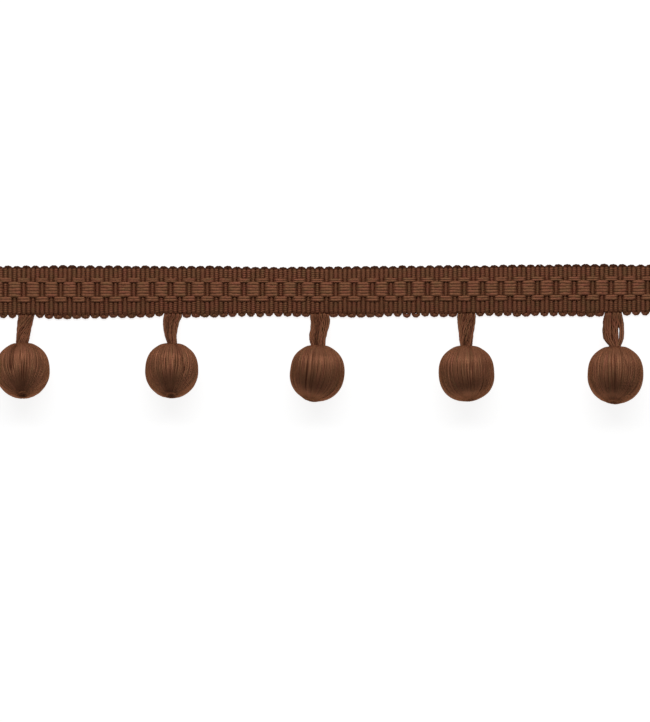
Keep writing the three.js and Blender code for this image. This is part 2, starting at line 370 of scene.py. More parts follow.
def bell(value, width):
    """1 at 0, falling on both sides, to 1 over e at the width."""
    return np.exp(-((value / width) ** 2))


def blend(start, end, share):
    """start where share is 0, end where it is 1, and in proportion between."""
    return start + (end - start) * share


def lighten(value, least, start, full):
    """least up to start and 1 from full on, with a smooth cubic step between."""
    return blend(least, 1, ease(value, start, full))


def totals(steps):
    """Running totals of the steps, starting with 0."""
    return np.concatenate(([0], np.cumsum(steps)))


def edge_at(x, side):
    """Height of an edge at x: the table's rows with smooth cubic steps between them."""
    rows = np.asarray(EDGES["x"], float)
    values = np.asarray(EDGES[side], float)
    after = np.clip(np.searchsorted(rows, x), 1, len(rows) - 1)
    return blend(values[after - 1], values[after], ease(x, rows[after - 1], rows[after]))


def draws(kind, number=0):
    """A random generator, always the same one for a kind of draw and a number."""
    return np.random.default_rng(SEEDS[kind] + number)


def drift(along, rng, pitch, count=1):
    """A smooth wander between -1 and 1 for each of count threads: the mean of three sine waves of
    random phase, whose lengths are pitch, pitch over 1.7 and pitch over 2.9."""
    rates = (1, 1.7, 2.9)
    waves = zip(rates, rng.uniform(0, FULL_TURN, (len(rates), count, 1)))
    total = sum(np.sin(FULL_TURN * along * rate / pitch + phase) for rate, phase in waves)
    return total / len(rates)


def catmull_rom(rows, steps):
    """A curve through the rows, except the first and the last, which only set the direction at its
    ends. Each stretch is the usual cubic, whose slope at a row is half the way between the row's
    two neighbours. Returns as many points as steps."""
    stretches = len(rows) - 3
    place = np.linspace(0, stretches, steps)
    first = np.minimum(place.astype(int), stretches - 1)
    t = (place - first)[:, None]
    before, start, end, after = (rows[first + step] for step in range(4))
    first_power = (end - before) * t
    second_power = (2 * before - 5 * start + 4 * end - after) * t ** 2
    third_power = (3 * start - before - 3 * end + after) * t ** 3
    return start + 0.5 * (first_power + second_power + third_power)


def unit(vectors):
    """The vectors at length 1."""
    return vectors / np.linalg.norm(vectors, axis=-1, keepdims=True)


def sweep(path, width, height, around, relief=None):
    """A tube: at each row of the path, an ellipse of that width and height, square to the path.
    Its width lies level and its height stands on the path. relief, where it is given, is a function
    of the distance along the path and the share of a turn, and is added to the ellipse's radii.
    Returns the points, rows by around by 3, and the distance along the path of each row."""
    along = totals(np.linalg.norm(np.diff(path, axis=0), axis=1))
    forward = unit(np.gradient(path, axis=0))
    side = unit(np.cross(forward, (0, 0, 1)))
    above = np.cross(side, forward)
    turn = np.arange(around)[None, :] / around
    extra = relief(along[:, None], turn) if relief else 0
    across = (np.asarray(width).reshape(-1, 1) / 2 + extra) * np.cos(FULL_TURN * turn)
    upward = (np.asarray(height).reshape(-1, 1) / 2 + extra) * np.sin(FULL_TURN * turn)
    points = path[:, None] + across[..., None] * side[:, None] + upward[..., None] * above[:, None]
    return points, along


# Meshes

def tube(points, along, tone, strand):
    """What build_mesh needs for one tube: its points, the distance along it, and how light and
    which yarn it is, as numbers or arrays that fit rows by around."""
    shape = points.shape[:2]
    return {
        "points": points,
        "along": along,
        "tone": np.broadcast_to(tone, shape),
        "strand": np.broadcast_to(strand, shape),
    }


def tube_faces(rows, around):
    """Corner numbers of a tube's four-sided faces and of the triangles that close its two ends
    round a middle point, and for each corner its row and its place round the tube."""
    row, place = np.meshgrid(np.arange(rows - 1), np.arange(around), indexing="ij")
    row = row.ravel()
    place = place.ravel()
    rows_of = np.stack([row, row, row + 1, row + 1], 1)
    places_of = np.stack([place, place + 1, place + 1, place], 1)
    quads = rows_of * around + places_of % around
    ring = np.arange(around)
    first = np.stack([np.full(around, rows * around), (ring + 1) % around, ring], 1)
    start = (rows - 1) * around
    last = np.stack([np.full(around, rows * around + 1), start + ring, start + (ring + 1) % around], 1)
    cap_rows = np.concatenate([np.zeros((around, 3), int), np.full((around, 3), rows - 1)])
    cap_places = np.concatenate([
        np.stack([ring + 0.5, ring + 1, ring], 1),
        np.stack([ring + 0.5, ring, ring + 1], 1),
    ])
    return quads, np.concatenate([first, last]), rows_of, places_of, cap_rows, cap_places


def add_object(name, data):
    """A new object in the scene, at the origin."""
    made = bpy.data.objects.new(name, data)
    bpy.context.scene.collection.objects.link(made)
    return made


def build_mesh(name, tubes):
    """One object from closed tubes, in millimetres. Its point attributes tone and strand say how
    light the yarn is, painted light and shade included, and which yarn it is. Its UV map holds the
    distance along a thread and the share of a turn round it."""
    points, tones, strands, loops, sizes, coords = [], [], [], [], [], []
    base = 0
    for part in tubes:
        rows, around = part["points"].shape[:2]
        quads, caps, quad_rows, quad_places, cap_rows, cap_places = tube_faces(rows, around)
        ends = part["points"][[0, -1]].mean(1)
        points += [part["points"].reshape(-1, 3), ends]
        for key, store in (("tone", tones), ("strand", strands)):
            store += [part[key].ravel(), part[key][[0, -1]].mean(1)]
        loops += [(quads + base).ravel(), (caps + base).ravel()]
        sizes += [np.full(len(quads), 4), np.full(len(caps), 3)]
        for of_row, of_place in ((quad_rows, quad_places), (cap_rows, cap_places)):
            coords.append(np.stack([part["along"][of_row].ravel(), (of_place / around).ravel()], 1))
        base += rows * around + 2
    points = np.concatenate(points) * MM
    loops = np.concatenate(loops)
    sizes = np.concatenate(sizes)
    starts = totals(sizes)[:-1]
    mesh = bpy.data.meshes.new(name)
    mesh.vertices.add(len(points))
    mesh.vertices.foreach_set("co", points.astype(np.float32).ravel())
    mesh.loops.add(len(loops))
    mesh.loops.foreach_set("vertex_index", loops.astype(np.int32))
    mesh.polygons.add(len(sizes))
    mesh.polygons.foreach_set("loop_start", starts.astype(np.int32))
    mesh.polygons.foreach_set("use_smooth", np.ones(len(sizes), bool))
    mesh.update(calc_edges=True)
    for key, store in (("tone", tones), ("strand", strands)):
        layer = mesh.attributes.new(key, "FLOAT", "POINT")
        layer.data.foreach_set("value", np.concatenate(store).astype(np.float32))
    uv = mesh.uv_layers.new(name="thread")
    uv.uv.foreach_set("vector", np.concatenate(coords).astype(np.float32).ravel())
    a, b, c = (points[loops[starts + step]] for step in range(3))
    if np.einsum("ij,ij->", a, np.cross(b, c)) < 0:
        mesh.flip_normals()
    mesh.validate()
    return add_object(name, mesh)


def fit_piece(piece, material, slot, *nodes):
    """Gives a piece its material, attaches it to the body and hides the model's parts that it stands
    for.
    """
    piece.data.materials.append(material)
    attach(piece, BODY)
    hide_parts(*nodes)


# Materials

class Value:
    """A socket that holds a number, so that sums on it read as sums and add Math nodes."""

    def __init__(self, shader, socket):
        self.shader = shader
        self.socket = socket

    def maths(self, operation, first, second):
        node = self.shader.node("ShaderNodeMath", {"operation": operation}, {0: first, 1: second})
        return node.value(0)

    def __add__(self, other):
        return self.maths("ADD", self, other)

    def __sub__(self, other):
        return self.maths("SUBTRACT", self, other)

    def __rsub__(self, other):
        return self.maths("SUBTRACT", other, self)

    def __mul__(self, other):
        return self.maths("MULTIPLY", self, other)

    def sine(self):
        return self.maths("SINE", self, 0.0)

    __radd__ = __add__
    __rmul__ = __mul__


class Node:
    """A shader node with its outputs as wrapped sockets."""

    def __init__(self, shader, made):
        self.shader = shader
        self.made = made

    def value(self, name):
        return Value(self.shader, self.made.outputs[name])


class Shader:
    """One material. node adds any node: its type, its settings, and its sockets' values or links."""

    def __init__(self, name):
        self.material = bpy.data.materials.new(name)
        self.material.use_nodes = True
        self.tree = self.material.node_tree
        self.tree.nodes.clear()

    def node(self, kind, settings=None, inputs=None):
        made = self.tree.nodes.new(kind)
        for key, setting in (settings or {}).items():
            setattr(made, key, setting)
        for key, content in (inputs or {}).items():
            if isinstance(content, Value):
                self.tree.links.new(content.socket, made.inputs[key])
            else:
                made.inputs[key].default_value = content
        return Node(self, made)

    def mix(self, share, start, end):
        """The colour start at 0, end at 1 and in proportion between."""
        settings = {"data_type": "RGBA", "clamp_factor": True}
        return self.node("ShaderNodeMix", settings, {0: share, 6: start, 7: end}).value(2)

    def noise(self, vector, detail):
        """Noise whose lumps are one unit of the vector across, with as many octaves as detail."""
        inputs = {"Vector": vector, "Scale": 1.0, "Detail": detail}
        return self.node("ShaderNodeTexNoise", None, inputs).value("Fac")

    def spread(self, value, low, high):
        """0 at low, 1 at high, in proportion between and clamped outside."""
        inputs = {"Value": value, "From Min": low, "From Max": high}
        return self.node("ShaderNodeMapRange", {"clamp": True}, inputs).value("Result")


def opaque(shades):
    """A colour with its alpha."""
    return (*shades, 1.0)


def yarn_material(name, colours, ridge_pitch, ridge_count, ridge_depth, drift_length, roughness):
    """Dyed yarn. Its shade drifts slowly along each thread and differs from thread to thread, its
    grooves get painted shade that is darker and redder, and fine fibres and turns of twist roughen it.
    ridge_pitch is the distance in millimetres between turns of twist or wrapping, ridge_count how
    many of them lie side by side round the piece, ridge_depth how dark the painted shade in the
    grooves between them is, and drift_length the distance over which the dye changes."""
    shader = Shader(name)
    place = shader.node("ShaderNodeUVMap", {"uv_map": "thread"}).value("UV")
    parts = shader.node("ShaderNodeSeparateXYZ", None, {0: place})
    along = parts.value("X")
    turn = parts.value("Y")
    tone = shader.node("ShaderNodeAttribute", {"attribute_name": "tone"}).value("Fac")
    strand = shader.node("ShaderNodeAttribute", {"attribute_name": "strand"}).value("Fac")

    def at(*values):
        return shader.node("ShaderNodeCombineXYZ", None, dict(enumerate(values))).value(0)

    # Each strand reads its own line of these noises, far from the others
    dye = shader.noise(at(along * (1 / drift_length), strand * 61.0, 0.0), 1.0)
    shade = shader.noise(at(along * (1.7 / drift_length), strand * 37.0, 5.0), 2.0)
    fibre_rows = max(9.0, 2.5 * ridge_count)
    fibres = shader.noise(at(along * 1.8, turn * fibre_rows, strand * 9.0), 3.0)
    turns = (along * (FULL_TURN / ridge_pitch) + turn * (FULL_TURN * ridge_count)).sine()
    # The shares at which the dye turns from olive to light and on to reddish
    hue = shader.mix(shader.spread(dye, 0.32, 0.50), opaque(colours.olive), opaque(colours.light))
    hue = shader.mix(shader.spread(dye, 0.52, 0.70), hue, opaque(colours.reddish))
    # How light the yarn is: its own tone, which carries each piece's painted light and shade, its
    # shade, the painted shade in the grooves and the fibres
    light = tone * (0.78 + shade * 0.44) * (1.0 - ridge_depth * (0.5 - turns * 0.5))
    light = light * (0.80 + fibres * 0.40)
    # Where it is dim the colour turns to the dark yarn, a shaded copy, and lower still to the deep
    # shade
    paint = shader.mix(shader.spread(light, 0.15, 0.95), opaque(colours.dark), hue)
    paint = shader.mix(shader.spread(light, 0.02, 0.25), opaque(colours.deep), paint)
    bump = shader.node(
        "ShaderNodeBump", None,
        {"Strength": 0.5, "Distance": 0.04 * MM, "Height": turns * 0.6 + fibres})
    surface = shader.node("ShaderNodeBsdfPrincipled", None, {
        "Base Color": paint,
        "Roughness": shader.spread(fibres, 0.2, 0.8) * 0.12 + (roughness - 0.06),
        "Normal": bump.value("Normal"),
        "Metallic": 0.8,
        "Specular IOR Level": 0.3,
        "Specular Tint": opaque((0.8, 0.5, 0.35)),
    })
    shader.node("ShaderNodeOutputMaterial", None, {"Surface": surface.value("BSDF")})
    return shader.material


def floor_material():
    """A white surface that gives light of its own, so that only weak shadows show on it."""
    shader = Shader("pale_floor")
    surface = shader.node("ShaderNodeBsdfPrincipled", None, {
        "Base Color": opaque((0.30, 0.30, 0.30)),
        "Roughness": 0.9,
        "Emission Color": opaque((1.0, 1.0, 1.0)),
        "Emission Strength": 0.88,
    })
    shader.node("ShaderNodeOutputMaterial", None, {"Surface": surface.value("BSDF")})
    return shader.material


# The heading

def heading_counts(sizes):
    """Number of ribs, and where the heading begins."""
    ribs = RIBS_PER_BEAD * len(BEADS)
    return ribs, -ribs * sizes.rib_pitch / 2


def cord_level(share, residue, sizes):
    """Height of the cord's middle: the plain level in the ribs, the pressed level where warp
    threads pass over it, and the loop level near both edges, with short smooth steps between."""
    level = np.full_like(share, sizes.plain_level)
    for band in BANDS:
        if residue != band["under"]:
            inside = between(share, band["low"], band["high"], CORD.soft)
            level = blend(level, sizes.pressed_level, inside)
    level = blend(sizes.loop_level, level, ease(share, *CORD.rise))
    return blend(level, sizes.loop_level - CORD.upper_drop, ease(share, *CORD.fall))


def slack_at(x, sizes):
    """How slack the loops lie at each x, from -0.5 where they are tight and round to 0.5 where
    they are wide and flat: a slow wander along the trim."""
    wander = drift(x, draws("loop_slack"), CORD.slack_pitch)[0]
    return np.clip(sizes.loop_slack * wander, -0.5, 0.5)


def rib_path(rib, sizes):
    """One rib from the tip of its lower loop to the tip of its upper loop: a quarter of an oval, a
    straight run and a quarter of a shallower oval. The lower oval is shallower where the loops are
    slack. A short rib, at a skein, ends straight below.
    Returns a row for each sample: x, y, z, the share of the heading's width from its lower edge,
    and 1 where the rib passes over warp threads, with 0 elsewhere."""
    short = rib % RIBS_PER_BEAD in RIBS_SHORT_AT_HANGER
    _, start = heading_counts(sizes)
    x = start + (rib + 0.5) * sizes.rib_pitch
    bottom = edge_at(x, "bottom")
    top = edge_at(x, "top")
    lower_wobble = sizes.loop_wobble * draws("lower_loop", rib // 2).normal(0, 1)
    upper_wobble = sizes.loop_wobble * draws("upper_loop", (rib + 1) // 2).normal(0, CORD.upper_wobble)
    loop_middle = start + (2 * (rib // 2) + 1) * sizes.rib_pitch
    lower_depth = sizes.lower_loop_depth * (1 - slack_at(np.array([loop_middle]), sizes)[0])
    lower_line = bottom + sizes.lower_loop_width / 2 + lower_depth + lower_wobble
    upper_line = top - sizes.upper_loop_width / 2 - sizes.upper_loop_depth + upper_wobble
    radius = sizes.rib_pitch / 2
    arc = radius * math.pi / 2
    first = bottom + sizes.short_rib_inset if short else lower_line - arc
    run = np.linspace(first, upper_line + arc, CORD.samples)
    low_angle = np.clip((lower_line - run) / radius, 0, None) * (0 if short else 1)
    high_angle = np.clip((run - upper_line) / radius, 0, None)
    lower_side = -1 if rib % 2 else 1
    sideways = radius * lower_side * (np.cos(high_angle) - np.cos(low_angle))
    y = np.clip(run, None if short else lower_line, upper_line)
    y = y - lower_depth * np.sin(low_angle) + sizes.upper_loop_depth * np.sin(high_angle)
    share = (y - bottom) / (top - bottom)
    residue = (rib - FIRST_PILLAR) % RIBS_PER_REPEAT
    pillar = np.zeros_like(share)
    for band in BANDS:
        if residue == band["under"]:
            pillar += between(share, band["low"], band["high"], CORD.pillar_soft)
    return np.column_stack([x + sideways, y, cord_level(share, residue, sizes), share, pillar])


def cord_chain(ribs, sizes, rng):
    """The cord through neighbouring ribs, down the even ones and up the odd ones, as one tube.
    Each turn of the wrapping is a rounded ridge: the radius changes with the cosine of the distance
    along the cord over the wrap pitch, plus the share of a turn, which gives the wrap its slant."""
    parts = []
    for rib in ribs:
        rows = rib_path(rib, sizes)
        rows[:, 0] += rng.normal(0, CORD.shake)
        parts.append(rows if rib % 2 else rows[::-1])
    rows = np.concatenate(parts)
    steps = np.linalg.norm(np.diff(rows[:, :3], axis=0), axis=1)
    rows = rows[np.concatenate(([True], steps > CORD.least_step))]
    path = rows[:, :3]
    share = rows[:, 3]
    pillar = rows[:, 4]
    loop_width = np.where(share > 0.5, sizes.upper_loop_width, sizes.lower_loop_width)
    loop_width = loop_width * (1 + CORD.slack_width * slack_at(path[:, 0], sizes))
    in_loop = 1 - between(share, *CORD.rib, CORD.soft)
    width = blend(sizes.cord_width, loop_width, in_loop) * blend(1, sizes.pillar_width, pillar)
    height = blend(sizes.cord_height, sizes.loop_height, in_loop)

    def crests(along, turn):
        return np.cos(FULL_TURN * (along / sizes.wrap_pitch + turn))

    def wraps(along, turn):
        return sizes.wrap_relief * crests(along, turn)

    points, along = sweep(path, width, height, CORD.around, wraps)
    crest = crests(along[:, None], np.arange(CORD.around) / CORD.around)
    # Painted shade where the rib passes over warp threads, then the painted light and shade of each
    # stretch
    shade = CORD_TONE.plain + CORD_TONE.pillar * pillar
    for stretch in CORD_PAINTED_LIGHT:
        shade = shade + stretch["lighter"] * ease(share, stretch["start"], stretch["full"])
    # Painted shade in the grooves of the wrapping, lighter on its crests
    tone = shade[:, None] * (1 + CORD_TONE.crest * crest)
    return tube(points, along + rng.uniform(0, CORD.yarn), tone, rng.uniform())


def warp_thread(number, y_share, band, sizes):
    """A flat thread along the whole heading. Its height is the float level, and falls to the sunk
    level at each rib that passes over it, with smooth steps on both sides of that rib, where its
    samples lie closer together. It wanders a little sideways and up and down."""
    ribs, start = heading_counts(sizes)
    repeat = RIBS_PER_REPEAT * sizes.rib_pitch
    into = np.arange(-WARP.samples, ribs // RIBS_PER_REPEAT * WARP.samples + 1) / WARP.samples
    into = into - WARP.closer / FULL_TURN * np.sin(FULL_TURN * into)
    pillar = (FIRST_PILLAR + band["under"] + 0.5) * sizes.rib_pitch
    x = start + into * repeat + (pillar % repeat)
    x = np.concatenate(([start], x[(x > start) & (x < -start)], [-start]))
    away = np.abs((x - start - pillar + repeat / 2) % repeat - repeat / 2)
    over = ease(away, *WARP.rise)
    crown = WARP.crown * ease(away, WARP.crown_start, repeat / 2)
    wander = drift(x, draws("warp", number), WARP.aside_pitch)[0]
    lift = WARP.lift * drift(x, draws("warp_lift", number), WARP.lift_pitch)[0]
    bottom = edge_at(x, "bottom")
    top = edge_at(x, "top")
    spacing = (band["high"] - band["low"]) * (top - bottom) / band["threads"]
    y = blend(bottom, top, y_share) + WARP.aside * spacing * wander
    z = blend(sizes.sunk_level, sizes.float_level, over) + (crown + lift) * over
    change = WARP.width_change * drift(x, draws("warp_width", number), WARP.width_pitch)[0]
    width = spacing * (WARP.width + change)
    points, along = sweep(np.stack([x, y, z], 1), width, sizes.thread_height, WARP.around)
    # Painted shade: darker where the thread sinks under a rib
    tone = blend(WARP.sunk_tone, WARP.float_tone, over)[:, None]
    return tube(points, along, tone, draws("warp", number).uniform())


def ground_surface(sizes):
    """The ground cloth as one flat tube along the heading: a level face, and a back that rises by a
    cosine between the ribs and by a smaller one between the threads that run along it. At the
    selvedges face and back draw together. Returns the points, and the distance along the cloth."""
    ribs, start = heading_counts(sizes)
    x = np.linspace(start, -start, ribs * CLOTH.rib_samples + 1)[:, None]
    share = np.linspace(0, 1, CLOTH.across)
    top = edge_at(x, "top") - sizes.upper_inset
    bottom = edge_at(x, "bottom") + sizes.lower_inset
    y = bottom + (top - bottom) * share
    ribbing = np.cos(FULL_TURN * (x - start) / sizes.rib_pitch)
    lines = np.cos(FULL_TURN * share * CLOTH.back_threads)
    back = CLOTH.rib_relief * (1 + ribbing) / 2 + CLOTH.thread_relief * (1 - lines) / 2
    back[:, [0, -1]] = CLOTH.selvedge
    face = np.full_like(y, sizes.cloth_thickness)
    face[:, [0, -1]] -= CLOTH.selvedge
    y = np.concatenate([y, y[:, ::-1]], 1)
    z = np.concatenate([face, back[:, ::-1]], 1)
    return np.stack([np.broadcast_to(x, y.shape), y, z], -1), x[:, 0] - start


class TRIM_OT_ground_cloth(Operator):
    """Adds the thin cloth that lies under the ribs and carries the weave"""

    bl_idname = "trim.ground_cloth"
    bl_label = "Ground cloth"

    def execute(self, context):
        sizes = millimetres(context.scene.trim_heading)
        points, along = ground_surface(sizes)
        piece = build_mesh("ground_cloth", [tube(points, along, tone=0.75, strand=0.4)])
        cloth = yarn_material(
            "ground_yarn", context.scene.trim_colours, ridge_pitch=sizes.rib_pitch / 2,
            ridge_count=38, ridge_depth=0.35, drift_length=6.0, roughness=0.75)
        fit_piece(piece, cloth, "heading_yarn", "heading")
        width = edge_at(0.0, "top") - edge_at(0.0, "bottom") - sizes.upper_inset - sizes.lower_inset
        return {"FINISHED"}


class TRIM_OT_gimp_cord(Operator):
    """Adds the wrapped cord that forms the ribs and the loops, in one piece for each bead"""

    bl_idname = "trim.gimp_cord"
    bl_label = "Gimp cord"

    def execute(self, context):
        sizes = millimetres(context.scene.trim_heading)
        cord = yarn_material(
            "gimp_yarn", context.scene.trim_colours, ridge_pitch=sizes.wrap_pitch,
            ridge_count=1, ridge_depth=0.16, drift_length=5.0, roughness=0.68)
        # The cord is cut twice at each skein, between the short ribs
        cuts = (0, RIBS_SHORT_AT_HANGER[0] + 1, RIBS_SHORT_AT_HANGER[-1], RIBS_PER_BEAD)
        for bead in range(len(BEADS)):
            rng = draws("cord", bead)
            first = bead * RIBS_PER_BEAD
            chains = []
            for begin, end in zip(cuts[:-1], cuts[1:]):
                chains.append(cord_chain(range(first + begin, first + end), sizes, rng))
            piece = build_mesh(f"gimp_cord_{bead + 1}", chains)
            fit_piece(piece, cord, "heading_yarn", "heading")
        return {"FINISHED"}


class TRIM_OT_warp_threads(Operator):
    """Adds the flat threads that run along the heading over three ribs and under the fourth"""

    bl_idname = "trim.warp_threads"
    bl_label = "Warp threads"

    def execute(self, context):
        sizes = millimetres(context.scene.trim_heading)
        threads = []
        for band in BANDS:
            step = (band["high"] - band["low"]) / band["threads"]
            for place in range(band["threads"]):
                share = band["low"] + (place + 0.5) * step
                threads.append(warp_thread(len(threads), share, band, sizes))
        piece = build_mesh("warp_threads", threads)
        yarn = yarn_material(
            "warp_yarn", context.scene.trim_colours, ridge_pitch=1.3, ridge_count=1,
            ridge_depth=0.10, drift_length=4.0, roughness=0.64)
        fit_piece(piece, yarn, "heading_yarn", "heading")
        return {"FINISHED"}


# The beads

def bead_profile(bead, sizes):
    """Half section from the lower hole to the neck hole: distance from the axis and height.
    At each angle from the middle the distance is the radius across times the cosine to the power
    2 over fullness, and the height the radius along times the sine to that power. Bumps raise
    the lower lip and a wide ring round the neck, and a cubic dimple sinks each hole. Rows lie
    evenly, and twice as close at the rim of a hole.
    Returns both, their outward directions, the share of the way from hole to hole, and the way."""
    angle = np.linspace(-math.pi / 2, math.pi / 2, BEAD_SHAPE.fine)
    upper = angle > 0
    full = np.where(upper, sizes.neck_full, bead["lower_full"])
    reach = bead["across"] * np.abs(np.cos(angle)) ** (2 / full)
    lower_lip = bead["lip"] * bell(reach - sizes.hole_radius, BEAD_SHAPE.lip_width)
    neck_ring = sizes.neck_rise * bell(reach - sizes.neck_ring, BEAD_SHAPE.ring_width)
    depth = np.where(upper, sizes.neck_hole_depth, sizes.lower_hole_depth)
    dimple = depth * ease(1 - reach / sizes.hole_radius, 0, 1)
    height = bead["along"] * np.abs(np.sin(angle)) ** (2 / full)
    height = np.sign(angle) * (height + np.where(upper, neck_ring, lower_lip) - dimple)
    steps = np.hypot(np.diff(reach), np.diff(height))
    way = totals(steps)
    weight = totals(steps * (1 + bell(reach[1:] - sizes.hole_radius, BEAD_SHAPE.close_width)))
    at = np.linspace(0, weight[-1], BEAD_SHAPE.rows + 2)[1:-1]
    reach, height, along = (np.interp(at, weight, values) for values in (reach, height, way))
    d_reach = np.gradient(reach)
    d_height = np.gradient(height)
    size = np.hypot(d_reach, d_height)
    return reach, height, d_height / size, -d_reach / size, along / way[-1], along


def wound_threads(bead_index, reach, share, angle, sizes):
    """Relief of the winding on a grid of share and angle. Thread i follows its own angle, which
    slants, bows and waves a little from hole to hole, mostly together with the others of its
    winding, and has a round back as wide as the thread. The highest thread at each point shows.
    Returns the height above the ball, and the number of the thread that shows."""
    rng = draws("winding", bead_index)
    count = sizes.threads
    winding = np.sort(rng.integers(0, sizes.windings, count))
    slant, bow, level = (
        rng.normal(0, whole, sizes.windings)[winding] + rng.normal(0, single, count)
        for whole, single in (WOUND.slant, WOUND.bow, WOUND.level))
    home = (np.arange(count) + rng.normal(0, WOUND.place, count)) * FULL_TURN / count
    way = 2 * share[:, None] - 1
    route = home + slant * way + bow * (1 - way ** 2)
    phase = rng.uniform(0, WOUND.wave_phases, count)
    route = route + WOUND.wave * np.sin(WOUND.wave_rate * way + phase)
    apart = angle[None, :, None] - route[:, None, :]
    apart = np.abs((apart + math.pi) % FULL_TURN - math.pi) * reach[:, None, None]
    half = sizes.thread_width / 2
    back = half * np.sqrt(np.clip(1 - (apart / half) ** 2, 0, 1)) - half
    height = np.where(apart < half, back + level, -half)
    shown = height.argmax(2)
    return np.take_along_axis(height, shown[..., None], 2)[..., 0], shown


def seam_relief(bead_index, across, reach, share, angle):
    """How far seams sink the surface: for each seam a bell curve across its line, which slants
    from hole to hole, times a smooth window along it."""
    sunk = np.zeros((len(share), len(angle)))
    for seam in SEAMS:
        if seam["bead"] == bead_index:
            offset = seam["at"] + seam["slant"] * (2 * share - 1)
            line = np.arccos(np.clip(offset / across, -1, 1))
            apart = (angle[None, :] - line[:, None]) * reach[:, None]
            window = between(share, seam["first"], seam["last"], BEAD_SHAPE.seam_soft)
            sunk += seam["depth"] * window[:, None] * bell(apart, seam["width"])
    return sunk


def bead_tone(reach, height, relief, sunk, thread_shade):
    """How light each point of a bead is: the shade of the thread that shows, drawn at random, times
    painted shade: darker in the grooves between threads and in the seams, towards both holes and
    most at the neck, where it stands for the skein's shadow, and a little darker in a band below the
    middle."""
    groove = lighten(relief, *BEAD_TONE.groove)
    hole = lighten(reach, *BEAD_TONE.hole)
    neck = np.where(height > 0, lighten(reach, *BEAD_TONE.neck), 1)
    band = 1 - BEAD_TONE.band * bell(height - BEAD_TONE.band_place, BEAD_TONE.band_width)
    seam = 1 - BEAD_TONE.seam * np.clip(sunk, 0, BEAD_TONE.seam_depth)
    return thread_shade * groove * (hole * neck * band)[:, None] * seam


def settle(points, tip, lean):
    """Points of an upright bead, neck hole towards +Y, turned about X by minus the tip and then
    about Z by the lean. Tip and lean are degrees, as numbers or arrays that fit the points."""
    tip = np.radians(tip)
    lean = np.radians(lean)
    x, y, z = points[..., 0], points[..., 1], points[..., 2]
    y, z = y * np.cos(tip) + z * np.sin(tip), z * np.cos(tip) - y * np.sin(tip)
    x, y = x * np.cos(lean) - y * np.sin(lean), x * np.sin(lean) + y * np.cos(lean)
    return np.stack([x, y, z], -1)


def bead_surface(bead_index, sizes, around):
    """A wound ball: the half section turned round its axis, with the threads' relief added along
    the outward direction, its axis bent from the lower hole to the neck hole, and its lowest part
    pressed flat. Returns the tube, and the height of the ball's middle."""
    bead = BEADS[bead_index]
    reach, height, out_reach, out_height, share, along = bead_profile(bead, sizes)
    angle = np.arange(around) * FULL_TURN / around
    relief, shown = wound_threads(bead_index, reach, share, angle, sizes)
    sunk = seam_relief(bead_index, bead["across"], reach, share, angle)
    lift = relief - sunk
    from_axis = np.maximum(reach[:, None] + lift * out_reach[:, None], BEAD_SHAPE.least_reach)
    on_axis = height[:, None] + lift * out_height[:, None]
    points = np.stack([from_axis * np.cos(angle), on_axis, from_axis * np.sin(angle)], -1)
    to_neck = ease(on_axis, -bead["along"], bead["along"])
    tip = blend(bead["lower_tip"], bead["neck_tip"], to_neck)
    lean = blend(bead["lower_lean"], bead["neck_lean"], to_neck)
    points = settle(points, tip, lean)
    middle = -points[..., 2].min() - sizes.flat_spot
    points = points + (bead["x"], bead["y"], middle)
    points[..., 2] = np.maximum(points[..., 2], 0)
    rng = draws("bead_tone", bead_index)
    thread_shade = rng.uniform(*BEAD_TONE.thread, sizes.threads)[shown]
    tone = bead_tone(reach, height, relief, sunk, thread_shade)
    strand = rng.uniform(0, 1, sizes.threads)[shown]
    return tube(points, along, tone, strand), middle


class TRIM_OT_beads(Operator):
    """Adds the balls, wound with thread from the lower hole to the neck hole"""

    bl_idname = "trim.beads"
    bl_label = "Wound beads"

    def execute(self, context):
        sizes = millimetres(context.scene.trim_beads)
        yarn = yarn_material(
            "bead_yarn", context.scene.trim_colours, ridge_pitch=1.2, ridge_count=sizes.threads,
            ridge_depth=0.05, drift_length=9.0, roughness=0.54)
        for index in range(len(BEADS)):
            surface, _ = bead_surface(index, sizes, BEAD_SHAPE.around)
            piece = build_mesh(f"wound_bead_{index + 1}", [surface])
            fit_piece(piece, yarn, "bead_yarn", f"bead_{index + 1}")
        return {"FINISHED"}


# The skeins

